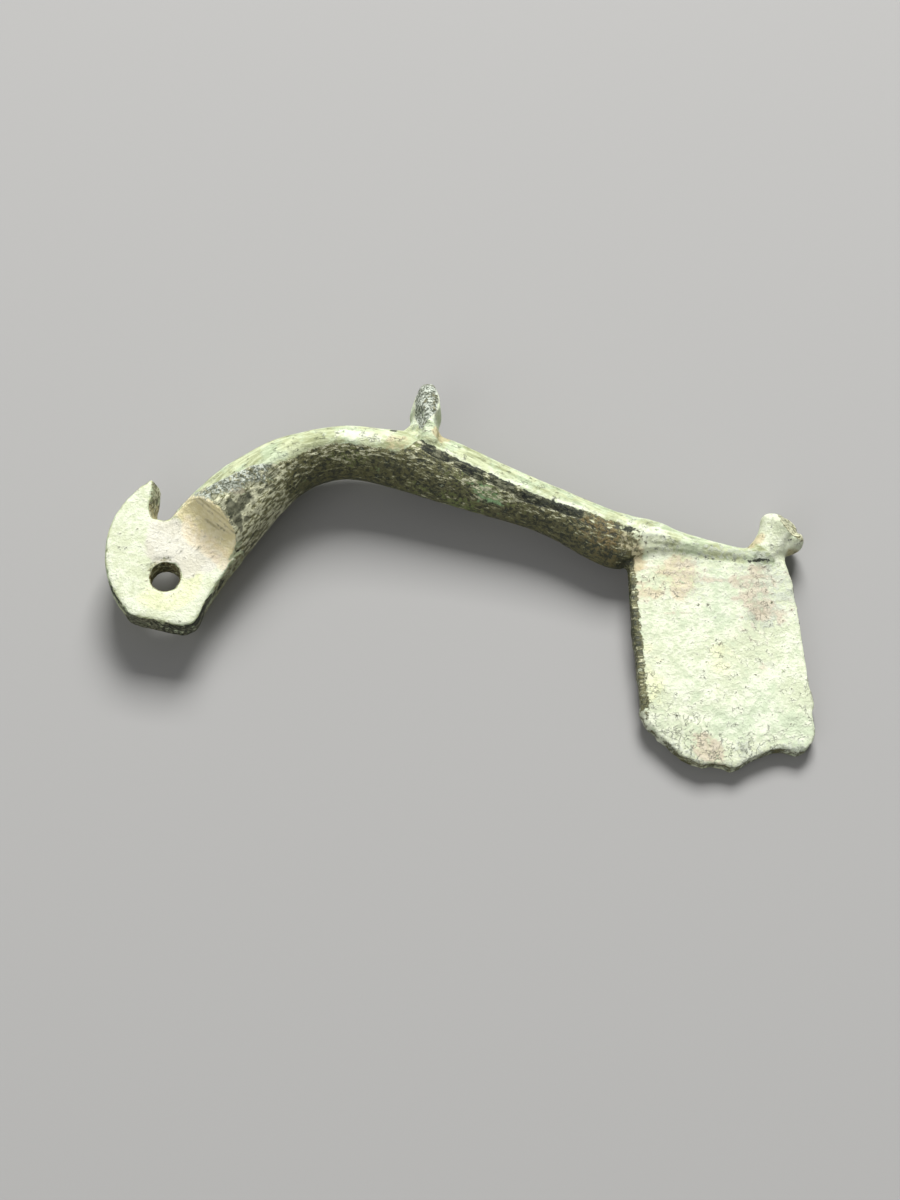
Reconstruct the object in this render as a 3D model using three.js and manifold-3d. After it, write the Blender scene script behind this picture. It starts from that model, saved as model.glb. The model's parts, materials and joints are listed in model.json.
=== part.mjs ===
// A cast copper-alloy bow brooch of the strongly profiled kind, without its pin and spring, lying on its
// side. Millimetres, +Z up. +X runs from the head to the foot, +Y from the catchplate's broken edge up to
// the crest.
//
// The brooch is drawn in its own plane first: the axis hole's centre is (0, 0), x runs along the brooch,
// y up to the crest, and z across it, with the mid-plane at 0. At the end it is laid down on the table.

import * as THREE from 'three';
import { ConvexHull } from 'three/addons/math/ConvexHull.js';
import { mergeVertices } from 'three/addons/utils/BufferGeometryUtils.js';
import Module from 'manifold-3d';

// Bow: the bent rod from the lug to the end of the foot.
const BOW_SPAN = 42; // from the axis hole to the end of the foot, along x
const BOW_RISE = 10; // from the axis hole up to the top of the bow's centre line
const BOW_DEPTH = 5.7; // back to belly, at the shoulder
const HEAD_WIDTH = 6.9; // side to side, at the shoulder
const BOW_STEPS = 44; // sections along the bow
const BOW_SIDES = 28; // corners of each section

// Lug: the flat plate that carried the spring, with its hook for the spring's chord.
const LUG_THICKNESS = 2.2;
const LUG_BACK_RADIUS = 6.6; // the round back, from the hook's tip to the lower corner
const LUG_BACK_X = 2.3; // centre of that round, from the axis hole
const LUG_BACK_Y = 1.85;
const LUG_FOOT_X = 2.05; // lowest corner, from the axis hole
const LUG_FOOT_DROP = 3.75; // the same corner, below the axis hole
const LUG_CORNER_ROUND = 1.0; // the lower back corner
const LUG_EDGE_ROUND = 0.28; // worn edge of the faces
const AXIS_HOLE_DIAMETER = 2.05;
const AXIS_HOLE_WEAR = 0.12; // how far the hole's mouth is worn wider
const SCOOP_RADIUS = 0.55; // the filed hollow where the wide head steps down to the lug
const SCOOP_SLOPE = 0.06; // how far its wall leans back for each millimetre of height
const NOTCH_INSET = 0.75; // from the bow's back to the notch's floor, along x
const NOTCH_WIDTH = 1.25; // between the hook and the bow, at its floor
const NOTCH_FLOOR = 4.35; // above the axis hole
const NOTCH_ROUND = 0.12; // how far its floor dips in the middle
const HOOK_TIP = 0.77; // thickness of the hook at its tip
const NOTCH_SLANT = 0.25; // the hook was filed askew: sideways shift for each millimetre across

// Crest: the thin upright half disc on the bow.
const CREST_HEIGHT = 6.3; // above the bow's centre line
const CREST_SEAT = 0.9; // where its outline starts, above that line
const CREST_WIDTH = 5.6; // side to side
const CREST_RIM = 1.0; // thickness at the rim
const CREST_ROOT = 1.9; // thickness where it meets the bow
const CREST_LEAN = 3; // degrees from upright, towards the foot
const CREST_TURN = 9; // degrees, it sits a little askew across the bow

// Catchplate: the flat plate under the foot, broken along its lower edge.
const PLATE_WIDTH = 11.9; // along x, under the foot
const PLATE_DROP = 13.7; // from the axis hole's level down to the lowest point of the break
const PLATE_LEAN = 0.9; // how far its head-side edge moves towards the foot on the way down
const PLATE_FLARE = 1.25; // how far its far edge moves out on the way down
const PLATE_THICKNESS = 1.3;
const PLATE_EDGE_ROUND = 0.34;

// Foot knob: a flared button on the end of the foot.
const KNOB_ANGLE = 50; // degrees above +x
const KNOB_DIAMETER = 3.6;
const KNOB_NECK_DIAMETER = 2.3;
const KNOB_LENGTH = 3.6; // from the end of the foot to the top of the button

const OVERLAP = 0.6; // how far a part of the casting reaches into its neighbour

// The bow's stations. along and up are shares of BOW_SPAN and BOW_RISE, deep and wide of BOW_DEPTH and
// HEAD_WIDTH, and ridge says how sharply the back is ridged, from 0, round, to 1, like a roof.
const STATIONS = [
  { along: 0.055, up: 0.258, deep: 0.91, wide: 0.95, ridge: 0 },
  { along: 0.076, up: 0.378, deep: 1.00, wide: 1.00, ridge: 0 },
  { along: 0.123, up: 0.610, deep: 0.95, wide: 0.98, ridge: 0 },
  { along: 0.158, up: 0.749, deep: 0.84, wide: 0.94, ridge: 0.05 },
  { along: 0.192, up: 0.861, deep: 0.75, wide: 0.89, ridge: 0.1 },
  { along: 0.231, up: 0.938, deep: 0.65, wide: 0.85, ridge: 0.1 },
  { along: 0.271, up: 0.984, deep: 0.62, wide: 0.81, ridge: 0.1 },
  { along: 0.308, up: 1.000, deep: 0.63, wide: 0.79, ridge: 0.1 },
  { along: 0.355, up: 0.976, deep: 0.66, wide: 0.77, ridge: 0.1 },
  { along: 0.429, up: 0.916, deep: 0.77, wide: 0.76, ridge: 0.15 },
  { along: 0.472, up: 0.858, deep: 0.79, wide: 0.72, ridge: 0.3 },
  { along: 0.540, up: 0.744, deep: 0.69, wide: 0.67, ridge: 0.45 },
  { along: 0.609, up: 0.632, deep: 0.61, wide: 0.63, ridge: 0.55 },
  { along: 0.671, up: 0.519, deep: 0.62, wide: 0.59, ridge: 0.6 },
  { along: 0.736, up: 0.377, deep: 0.70, wide: 0.55, ridge: 0.6 },
  { along: 0.771, up: 0.335, deep: 0.72, wide: 0.50, ridge: 0.6 },
  { along: 0.814, up: 0.342, deep: 0.54, wide: 0.43, ridge: 0.6 },
  { along: 0.857, up: 0.306, deep: 0.39, wide: 0.38, ridge: 0.6 },
  { along: 0.910, up: 0.265, deep: 0.30, wide: 0.32, ridge: 0.6 },
  { along: 0.962, up: 0.230, deep: 0.23, wide: 0.28, ridge: 0.5 },
  { along: 1.000, up: 0.220, deep: 0.20, wide: 0.26, ridge: 0.4 },
];
const SHOULDER_STATION = 1; // where the lug begins
const CREST_STATION = 9;
const PLATE_STATION = 15; // the catchplate's head-side edge

// The catchplate's broken edge, from the head side to the far side: across is a share of the plate's
// width down there, and left is the share of PLATE_DROP that is left at that place.
const BREAK = [
  { across: 0.0, left: 0.7 },
  { across: 0.03, left: 0.76 },
  { across: 0.085, left: 0.812 },
  { across: 0.11, left: 0.845 },
  { across: 0.16, left: 0.9 },
  { across: 0.22, left: 0.943 },
  { across: 0.32, left: 0.982 },
  { across: 0.375, left: 0.974 },
  { across: 0.43, left: 0.982 },
  { across: 0.485, left: 1.0 },
  { across: 0.54, left: 0.99 },
  { across: 0.6, left: 0.95 },
  { across: 0.66, left: 0.928 },
  { across: 0.72, left: 0.904 },
  { across: 0.79, left: 0.893 },
  { across: 0.87, left: 0.918 },
  { across: 0.925, left: 0.897 },
  { across: 0.97, left: 0.86 },
  { across: 1.0, left: 0.8 },
];

const wasm = await Module();
wasm.setup();

// A closed three.js geometry as a manifold-3d solid.
function solidOf(geometry) {
  const bare = geometry.clone();
  for (const name of ['normal', 'uv']) bare.deleteAttribute(name);
  const merged = mergeVertices(bare, 1e-4);
  return new wasm.Manifold(
    new wasm.Mesh({
      numProp: 3,
      vertProperties: merged.attributes.position.array,
      triVerts: new Uint32Array(merged.index.array),
    }),
  );
}

// A manifold-3d solid as a three.js geometry.
function geometryOf(solid) {
  const { vertProperties, triVerts } = solid.getMesh();
  const geometry = new THREE.BufferGeometry();
  geometry.setAttribute('position', new THREE.BufferAttribute(vertProperties, 3));
  geometry.setIndex(new THREE.BufferAttribute(triVerts, 1));
  geometry.computeVertexNormals();
  return geometry;
}

// A closed skin over rings that have the same number of points, with a fan over each end.
function skin(rings) {
  const sides = rings[0].length;
  const corners = rings.flat();
  const faces = [];
  for (let r = 0; r + 1 < rings.length; r++) {
    for (let i = 0; i < sides; i++) {
      const a = r * sides + i;
      const b = r * sides + ((i + 1) % sides);
      faces.push(a, b, a + sides, b, b + sides, a + sides);
    }
  }
  for (const [first, flipped] of [[0, true], [(rings.length - 1) * sides, false]]) {
    const ring = corners.slice(first, first + sides);
    const middle = ring.reduce((sum, p) => sum.add(p), new THREE.Vector3()).divideScalar(sides);
    corners.push(middle);
    for (let i = 0; i < sides; i++) {
      const a = first + i;
      const b = first + ((i + 1) % sides);
      faces.push(...(flipped ? [b, a, corners.length - 1] : [a, b, corners.length - 1]));
    }
  }
  const geometry = new THREE.BufferGeometry().setFromPoints(corners);
  geometry.setIndex(faces);
  return geometry;
}

// A flat outline given a thickness about the mid-plane, with its edges worn round.
function slab(outline, thickness, edgeRound) {
  const geometry = new THREE.ExtrudeGeometry(outline, {
    depth: thickness - 2 * edgeRound,
    bevelEnabled: edgeRound > 0,
    bevelThickness: edgeRound,
    bevelSize: edgeRound,
    bevelOffset: -edgeRound,
    bevelSegments: 2,
    curveSegments: 6,
  });
  return geometry.translate(0, 0, edgeRound - thickness / 2);
}

// The bow's centre line and its girth run through the stations together.
const route = new THREE.CatmullRomCurve3(
  STATIONS.map((s) => new THREE.Vector3(s.along * BOW_SPAN, s.up * BOW_RISE, 0)),
  false,
  'catmullrom',
  0.5,
);
const girth = new THREE.CatmullRomCurve3(
  STATIONS.map((s) => new THREE.Vector3((s.deep * BOW_DEPTH) / 2, (s.wide * HEAD_WIDTH) / 2, s.ridge)),
  false,
  'catmullrom',
  0.5,
);

// Where the bow is at t, from 0 to 1 through the stations: its place, its direction, the direction of
// its back, half its depth, half its width and its ridge.
function bowAt(t) {
  const place = route.getPoint(t);
  const ahead = route.getTangent(t).normalize();
  const back = new THREE.Vector3(-ahead.y, ahead.x, 0);
  const { x: deep, y: wide, z: ridge } = girth.getPoint(t);
  return { place, ahead, back, deep, wide, ridge };
}

// The same at one of the stations.
function bowAtStation(number) {
  return bowAt(number / (STATIONS.length - 1));
}

// One section of the bow: an oval whose back can be ridged and whose belly is a little narrower.
function bowSection(t) {
  const { place, back, deep, wide, ridge } = bowAt(t);
  const bellyNarrowing = 0.16;
  const ring = [];
  for (let i = 0; i < BOW_SIDES; i++) {
    const angle = (2 * Math.PI * i) / BOW_SIDES;
    const up = Math.cos(angle);
    const side = Math.sin(angle);
    const roof = up > 0 ? 1 - ridge * 0.55 * up * (1 - up) : 1 + bellyNarrowing * up;
    ring.push(
      place
        .clone()
        .addScaledVector(back, deep * up)
        .setZ(wide * side * roof),
    );
  }
  return ring;
}

function makeBow() {
  const rings = [];
  for (let i = 0; i <= BOW_STEPS; i++) rings.push(bowSection(i / BOW_STEPS));
  return solidOf(skin(rings));
}

const shoulder = bowAtStation(SHOULDER_STATION);
const shoulderBack = shoulder.place.clone().addScaledVector(shoulder.back, shoulder.deep);
const shoulderBelly = shoulder.place.clone().addScaledVector(shoulder.back, -shoulder.deep);
const notchRight = shoulderBack.x - NOTCH_INSET;

// The lug's outline: a round back from the hook's tip to the lower corner, a foot edge, a front edge up
// to the belly of the bow, and the notch behind the bow's back, whose hook side is filed afterwards.
function makeLug() {
  const hookWall = notchRight - NOTCH_WIDTH * 0.56;
  const tipAngle = Math.acos((hookWall - HOOK_TIP - LUG_BACK_X) / LUG_BACK_RADIUS);
  const cornerAngle = (221 * Math.PI) / 180;
  const corner = new THREE.Vector2(
    LUG_BACK_X + LUG_BACK_RADIUS * Math.cos(cornerAngle),
    LUG_BACK_Y + LUG_BACK_RADIUS * Math.sin(cornerAngle),
  );
  const tipY = LUG_BACK_Y + LUG_BACK_RADIUS * Math.sin(tipAngle);
  const round = LUG_CORNER_ROUND;
  const outline = new THREE.Shape();
  outline.absarc(LUG_BACK_X, LUG_BACK_Y, LUG_BACK_RADIUS, tipAngle, cornerAngle, false);
  outline.quadraticCurveTo(
    corner.x + 0.15 * round,
    corner.y - 0.5 * round,
    corner.x + round,
    corner.y - 0.62 * round,
  );
  outline.lineTo(LUG_FOOT_X * 0.56, -LUG_FOOT_DROP * 0.99);
  outline.quadraticCurveTo(LUG_FOOT_X * 1.05, -LUG_FOOT_DROP, LUG_FOOT_X * 1.2, -LUG_FOOT_DROP * 0.79);
  outline.quadraticCurveTo(LUG_FOOT_X * 1.56, -LUG_FOOT_DROP / 4, shoulderBelly.x, shoulderBelly.y);
  outline.lineTo(shoulder.place.x + OVERLAP, shoulder.place.y + OVERLAP);
  outline.lineTo(shoulderBack.x, shoulderBack.y);
  outline.lineTo(notchRight, NOTCH_FLOOR + NOTCH_ROUND);
  outline.quadraticCurveTo(notchRight - NOTCH_WIDTH / 3, NOTCH_FLOOR - NOTCH_ROUND, hookWall, NOTCH_FLOOR);
  outline.lineTo(hookWall, tipY - HOOK_TIP * 0.5);
  outline.quadraticCurveTo(hookWall - HOOK_TIP * 0.13, tipY, hookWall - HOOK_TIP * 0.75, tipY);
  return solidOf(slab(outline, LUG_THICKNESS, LUG_EDGE_ROUND));
}

// The filed hollow on one side of the lug, 1 for the upper face and -1 for the lower one. Its profile
// lies in the plane of the bow's direction and z, and runs straight across the bow.
function makeScoop(side) {
  const low = LUG_THICKNESS / 2;
  const high = HEAD_WIDTH;
  const reachBack = LUG_BACK_RADIUS * 2.5;
  const profile = new THREE.Shape();
  profile.moveTo(-reachBack, low);
  profile.lineTo(0, low);
  profile.absarc(0, low + SCOOP_RADIUS, SCOOP_RADIUS, -Math.PI / 2, -Math.atan(SCOOP_SLOPE), false);
  profile.lineTo(SCOOP_RADIUS + SCOOP_SLOPE * (high - low - SCOOP_RADIUS), high);
  profile.lineTo(-reachBack, high);
  const across = 2.4 * BOW_DEPTH;
  const settings = { depth: across, bevelEnabled: false, curveSegments: 8 };
  const geometry = new THREE.ExtrudeGeometry(profile, settings);
  geometry.translate(0, 0, -across / 2);
  const up = new THREE.Vector3(0, 0, side);
  const acrossBow = new THREE.Vector3().crossVectors(shoulder.ahead, up);
  geometry.applyMatrix4(new THREE.Matrix4().makeBasis(shoulder.ahead, up, acrossBow));
  geometry.translate(shoulder.place.x, shoulder.place.y, 0);
  return solidOf(geometry);
}

// The file's cut along the inside of the hook: it stands askew, so that the hook is thinner above.
function makeNotch() {
  const right = notchRight - NOTCH_ROUND;
  const left = notchRight - NOTCH_WIDTH;
  const top = LUG_BACK_Y + LUG_BACK_RADIUS + OVERLAP;
  const outline = new THREE.Shape();
  outline.moveTo(right, NOTCH_FLOOR);
  outline.lineTo(right, top);
  outline.lineTo(left + 0.16 * NOTCH_WIDTH, top);
  outline.lineTo(left + 0.08 * NOTCH_WIDTH, NOTCH_FLOOR + 1.36 * NOTCH_WIDTH);
  outline.quadraticCurveTo(
    left - 0.16 * NOTCH_WIDTH,
    NOTCH_FLOOR + 0.48 * NOTCH_WIDTH,
    left + 0.2 * NOTCH_WIDTH,
    NOTCH_FLOOR,
  );
  const geometry = slab(outline, HEAD_WIDTH, 0);
  geometry.applyMatrix4(new THREE.Matrix4().makeShear(0, 0, 0, 0, -NOTCH_SLANT, 0));
  return solidOf(geometry);
}

// The axis hole, with its mouth worn wider on both faces.
function makeAxisHole() {
  const radius = AXIS_HOLE_DIAMETER / 2;
  const face = LUG_THICKNESS / 2;
  const profile = [
    [0, -face - OVERLAP],
    [radius + AXIS_HOLE_WEAR, -face - OVERLAP],
    [radius + AXIS_HOLE_WEAR, -face],
    [radius, -face + 2 * AXIS_HOLE_WEAR],
    [radius, face - 2 * AXIS_HOLE_WEAR],
    [radius + AXIS_HOLE_WEAR, face],
    [radius + AXIS_HOLE_WEAR, face + OVERLAP],
    [0, face + OVERLAP],
  ].map(([x, y]) => new THREE.Vector2(x, y));
  return solidOf(new THREE.LatheGeometry(profile, 32).rotateX(Math.PI / 2));
}

// The crest: a half oval across the bow, thin at its rim and thicker where it grows out of the bow.
function makeCrest() {
  const { place } = bowAtStation(CREST_STATION);
  const points = 26;
  const layers = [
    { at: -CREST_ROOT * 0.8, size: 0.28 },
    { at: -CREST_ROOT / 2, size: 0.55 },
    { at: -CREST_RIM / 2, size: 0.96 },
    { at: -CREST_RIM / 4, size: 1 },
    { at: CREST_RIM / 4, size: 1 },
    { at: CREST_RIM / 2, size: 0.96 },
    { at: CREST_ROOT / 2, size: 0.55 },
    { at: CREST_ROOT * 0.7, size: 0.28 },
  ];
  const rings = layers.map(({ at, size }) => {
    const ring = [];
    for (let i = 0; i < points; i++) {
      const angle = (2 * Math.PI * i) / points;
      const rise = Math.cos(angle) > 0 ? CREST_HEIGHT - CREST_SEAT : CREST_SEAT;
      const up = CREST_SEAT + rise * Math.cos(angle) * size;
      ring.push(new THREE.Vector3(at, up, (CREST_WIDTH / 2) * Math.sin(angle) * size));
    }
    return ring;
  });
  const geometry = skin(rings);
  geometry.rotateY((CREST_TURN * Math.PI) / 180);
  geometry.rotateZ((-CREST_LEAN * Math.PI) / 180);
  return solidOf(geometry.translate(place.x, place.y, 0));
}

// The catchplate: two edges that move apart on the way down, and the broken edge between them.
function makeCatchplate() {
  const start = bowAtStation(PLATE_STATION).place;
  const leftAt = (down) => start.x + PLATE_LEAN * down;
  const rightAt = (down) => start.x + PLATE_WIDTH + PLATE_FLARE * Math.pow(down, 0.8);
  const footY = bowAt(1).place.y;
  const outline = new THREE.Shape();
  outline.moveTo(rightAt(0) - OVERLAP, footY);
  outline.lineTo(start.x + OVERLAP, start.y);
  outline.lineTo(start.x, start.y - OVERLAP);
  for (const down of [0.1, 0.4]) outline.lineTo(leftAt(down), -down * PLATE_DROP);
  for (const { across, left: kept } of BREAK) {
    outline.lineTo(leftAt(kept) + across * (rightAt(kept) - leftAt(kept)), -kept * PLATE_DROP);
  }
  for (const down of [0.6, 0.4, 0.2, 0.05]) outline.lineTo(rightAt(down), -down * PLATE_DROP);
  outline.lineTo(rightAt(0) - OVERLAP / 2, footY / 2);
  return solidOf(slab(outline, PLATE_THICKNESS, PLATE_EDGE_ROUND));
}

// The foot knob: a flared stem that opens into a domed button.
function makeKnob() {
  const end = bowAt(1).place;
  const rim = KNOB_DIAMETER / 2;
  const neck = KNOB_NECK_DIAMETER / 2;
  const stem = KNOB_LENGTH * 0.54;
  const profile = new THREE.SplineCurve(
    [
      [neck * 0.9, -OVERLAP],
      [neck, 0],
      [neck * 1.08, stem * 0.6],
      [rim * 0.86, stem],
      [rim, stem + KNOB_LENGTH * 0.14],
      [rim * 0.93, stem + KNOB_LENGTH * 0.29],
      [rim * 0.62, KNOB_LENGTH * 0.9],
      [rim * 0.3, KNOB_LENGTH * 0.986],
    ].map(([x, y]) => new THREE.Vector2(x, y)),
  ).getPoints(18);
  const closed = [new THREE.Vector2(0, -OVERLAP), ...profile, new THREE.Vector2(0, KNOB_LENGTH)];
  const geometry = new THREE.LatheGeometry(closed, 24);
  geometry.rotateZ(((KNOB_ANGLE - 90) * Math.PI) / 180);
  geometry.translate(end.x, end.y, 0);
  return solidOf(geometry);
}

function makeBrooch() {
  const casting = [makeLug(), makeCrest(), makeCatchplate(), makeKnob()].reduce(
    (whole, piece) => whole.add(piece),
    makeBow(),
  );
  return [makeScoop(1), makeScoop(-1), makeNotch(), makeAxisHole()].reduce(
    (whole, tool) => whole.subtract(tool),
    casting,
  );
}

// The centre of mass of a closed geometry, from the tetrahedra between its faces and the origin.
function centreOfMass(geometry) {
  const position = geometry.attributes.position;
  const [a, b, c] = [0, 1, 2].map(() => new THREE.Vector3());
  const centre = new THREE.Vector3();
  let volume = 0;
  for (let i = 0; i < geometry.index.count; i += 3) {
    [a, b, c].forEach((corner, k) => corner.fromBufferAttribute(position, geometry.index.getX(i + k)));
    const part = a.dot(new THREE.Vector3().crossVectors(b, c)) / 6;
    volume += part;
    centre.addScaledVector(a.add(b).add(c), part / 4);
  }
  return centre.divideScalar(volume);
}

// The turn that lays a geometry down on a table, the way it would settle: it tips over onto the side of
// its convex hull that is straight below its centre of mass, until that side no longer changes.
function settledTurn(geometry) {
  const points = [];
  for (let i = 0; i < geometry.attributes.position.count; i++) {
    points.push(new THREE.Vector3().fromBufferAttribute(geometry.attributes.position, i));
  }
  const hull = new ConvexHull().setFromPoints(points);
  const centre = centreOfMass(geometry);
  const turn = new THREE.Quaternion();
  for (let tries = 0; tries < 20; tries++) {
    const down = new THREE.Vector3(0, 0, -1).applyQuaternion(turn.clone().invert());
    let below = null;
    let nearest = Infinity;
    for (const face of hull.faces) {
      const facing = face.normal.dot(down);
      const distance = (face.constant - face.normal.dot(centre)) / facing;
      if (facing > 1e-6 && distance < nearest) {
        nearest = distance;
        below = face;
      }
    }
    if (below.normal.dot(down) > 1 - 1e-10) break;
    turn.setFromUnitVectors(below.normal, new THREE.Vector3(0, 0, -1));
  }
  return turn;
}

const bronze = new THREE.MeshStandardMaterial({ color: '#a9b48c', roughness: 0.72, metalness: 0.15 });
const brooch = new THREE.Mesh(geometryOf(makeBrooch()), bronze);
brooch.name = 'brooch';
brooch.quaternion.copy(settledTurn(brooch.geometry));

// The frame's origin is under the middle of the brooch, on the table.
const box = new THREE.Box3().setFromObject(brooch, true);
const middle = box.getCenter(new THREE.Vector3());
brooch.position.set(-middle.x, -middle.y, -box.min.z);

const group = new THREE.Group();
group.add(brooch);

export default group;
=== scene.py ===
# A cast bronze bow brooch with its green patina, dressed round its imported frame.
#
# The scene is in metres. The brooch's own drawing is in millimetres: the axis hole's centre is (0, 0), x
# runs along the brooch, y up to the crest, and z across it, with the mid-plane at 0. The upper side, which
# faces the camera, has z above 0.

import json
import math

import bpy
import numpy as np
from mathutils import Matrix, Vector, kdtree


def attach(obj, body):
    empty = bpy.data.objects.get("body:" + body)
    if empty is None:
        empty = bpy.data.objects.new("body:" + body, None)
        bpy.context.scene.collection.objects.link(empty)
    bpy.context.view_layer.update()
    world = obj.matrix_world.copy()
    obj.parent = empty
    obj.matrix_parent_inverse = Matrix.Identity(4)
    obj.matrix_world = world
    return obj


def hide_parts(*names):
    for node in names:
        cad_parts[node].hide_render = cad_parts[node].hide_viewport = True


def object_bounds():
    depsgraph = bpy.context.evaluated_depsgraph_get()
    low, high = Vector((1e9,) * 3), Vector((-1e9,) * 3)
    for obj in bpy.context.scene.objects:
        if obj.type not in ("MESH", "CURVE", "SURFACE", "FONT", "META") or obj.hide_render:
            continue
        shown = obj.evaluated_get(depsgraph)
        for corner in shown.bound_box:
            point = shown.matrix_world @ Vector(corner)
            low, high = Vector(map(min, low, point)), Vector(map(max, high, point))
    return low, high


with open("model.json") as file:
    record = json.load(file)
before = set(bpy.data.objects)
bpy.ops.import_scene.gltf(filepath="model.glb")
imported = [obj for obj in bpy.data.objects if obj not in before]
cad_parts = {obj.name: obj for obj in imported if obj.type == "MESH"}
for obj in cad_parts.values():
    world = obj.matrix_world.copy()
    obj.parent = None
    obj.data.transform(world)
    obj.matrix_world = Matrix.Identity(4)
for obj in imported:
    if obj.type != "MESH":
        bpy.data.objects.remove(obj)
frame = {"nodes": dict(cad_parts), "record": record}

MM = 0.001
cad_low, cad_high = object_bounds()

# Places in the drawing, in millimetres
LUG_FACE_POINT = (-1.9, 1.2, 1.1)  # the middle of the mount on the lug's upper face
LUG_FACE = 1.1  # height of the lug's faces above the mid-plane
LUG_BACK = (2.3, 1.85)  # the middle of the lug's round outline
NOTCH = (-0.3, 5.0)  # the gap behind the chord hook
SHOULDER = (3.19, 3.78)  # where the head steps down to the lug
SHOULDER_AHEAD = (0.649, 0.761)  # the bow's direction there
SCOOP_WALL = 0.62  # from there to the hollow's wall
SCOOP_ROUND = (2.6, 2.4)  # how far the hollow's round foot reaches along the bow, and up
HEAD_ROUND = (2.75, 3.2)  # the head's half depth and half width behind the hollow
CREST_FOOT = (18.0, 9.2)
CREST_AHEAD = (0.9986, -0.0523)  # the bow's direction there
FOOT_END = (42.0, 2.2)
KNOB_AHEAD = (0.643, 0.766)  # the way the knob points
KNOB_MIDDLE = (2.1, 0.2)  # from the foot's end along the knob, and above the mid-plane
KNOB_FLAT = (0.669, 0.370, 0.645)  # the way its worn side faces
KNOB_FLAT_OUT = 1.25  # from the knob's middle to that side
KNOB_GROOVE = -0.9  # from the knob's middle line, below it
KNOB_LOBE = (44.4, 2.45)
PLATE_TOP_LEFT = (32.4, 3.3)
PLATE_LEAN = 0.066  # how far its left edge moves right for each millimetre down
PLATE_BOTTOM = -13.7

# Half the width of the crest's worn rim, at heights above the bow's middle line
CREST_RIM = [(1.4, 0.12), (2.2, 0.3), (3.2, 0.74), (4.4, 0.84), (5.6, 0.64), (6.3, 0.46)]

# The bow's middle line: x, y, half its depth and half its width there
BOW_LINE = [
    (2.3, 2.6, 2.6, 3.3),
    (5.2, 6.1, 2.7, 3.4),
    (8.0, 8.6, 2.1, 3.1),
    (11.4, 9.8, 1.8, 2.8),
    (14.9, 9.8, 1.9, 2.7),
    (18.0, 9.2, 2.2, 2.6),
    (22.7, 7.4, 2.0, 2.3),
    (25.6, 6.3, 1.7, 2.2),
    (28.2, 5.2, 1.8, 2.0),
    (30.9, 3.8, 2.0, 1.9),
    (32.6, 3.35, 2.0, 1.7),
    (34.2, 3.4, 1.5, 1.5),
    (36.0, 3.1, 1.1, 1.3),
    (38.2, 2.65, 0.85, 1.1),
    (42.0, 2.2, 0.57, 0.9),
]

# Where the pale back ends and the dark flank begins, on the upper side: x, y
PALE_EDGE = [
    (0.0, 5.4),
    (2.6, 5.9),
    (4.2, 6.6),
    (6.1, 7.5),
    (7.7, 7.8),
    (8.4, 8.1),
    (9.9, 9.0),
    (11.8, 9.6),
    (12.7, 9.6),
    (15.4, 9.15),
    (16.4, 9.1),
    (17.6, 9.9),
    (18.9, 9.2),
    (21.7, 7.8),
    (24.3, 6.6),
    (27.0, 5.5),
    (29.8, 4.7),
    (32.8, 3.75),
    (34.8, 3.3),
    (36.5, 2.65),
    (37.6, 2.5),
]

VOXEL = 0.127  # how fine the visible mesh is, in millimetres: about 192,600 triangles
DARK_PIT = 0.05  # a pit at least this deep, in millimetres, is shaded in full
SEED = 7
SCATTER = (374761393, 668265263, 2147483647, 1274126177)  # large odd numbers that scramble a grid's corners
SMOOTH = {"interpolation_type": "SMOOTHSTEP"}  # the setting of a material's ranges that ease in and out


def ease(value, low, high):
    """0 below low, 1 above high, and smooth between. low may be the larger one."""
    share = np.clip((value - low) / (high - low), 0, 1)
    return share * share * (3 - 2 * share)


def most(*amounts):
    """The largest of the amounts at each vertex."""
    return np.maximum.reduce(amounts)


def lattice(ix, iy, iz, seed):
    """A fixed pseudo-random number from -1 to 1 for each corner of an integer grid."""
    a, b, c, d = (np.uint32(number) for number in SCATTER)
    h = ix.astype(np.uint32) * a + iy.astype(np.uint32) * b
    h = h + iz.astype(np.uint32) * c + np.uint32((seed * 97 + 13) * 40503)
    h = (h ^ (h >> np.uint32(13))) * d
    h = h ^ (h >> np.uint32(16))
    return (h & np.uint32(0xFFFFFF)).astype(np.float64) / 0x7FFFFF - 1


def grain(points, size, seed=0):
    """Smooth noise from about -1 to 1 at the points, with lumps about size wide, one number or three."""
    p = points / size + 500.0
    cell = np.floor(p).astype(np.int64)
    f = p - cell
    f = f * f * (3 - 2 * f)
    total = np.zeros(len(points))
    for corner in range(8):
        step = np.array([corner & 1, corner >> 1 & 1, corner >> 2 & 1])
        weight = np.prod(np.where(step, f, 1 - f), axis=1)
        total += weight * lattice(*(cell + step).T, SEED + seed)
    return total


def bow_samples(rows, steps=24):
    """The rows joined by a smooth curve, with steps samples for each stretch."""
    rows = np.array(rows, float)
    padded = np.vstack([2 * rows[0] - rows[1], rows, 2 * rows[-1] - rows[-2]])
    out = []
    for a, b, c, d in zip(padded, padded[1:], padded[2:], padded[3:]):
        for u in np.arange(steps) / steps:
            bend = 2 * a - 5 * b + 4 * c - d + u * (3 * (b - c) + d - a)
            out.append(b + 0.5 * u * (c - a + u * bend))
    return np.array(out)


# The drawing's place in the frame, from the mount on the lug's upper face
lug_mount = next(m for m in frame["record"]["mounts"] if m["name"] == "lug_face_up")
lug_turn = Vector((0, 0, 1)).rotation_difference(Vector(lug_mount["axis"])).to_matrix()
drawing_to_frame = (
    Matrix.Translation(Vector(lug_mount["pos_m"]))
    @ lug_turn.to_4x4()
    @ Matrix.Scale(MM, 4)
    @ Matrix.Translation(-Vector(LUG_FACE_POINT))
)


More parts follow.
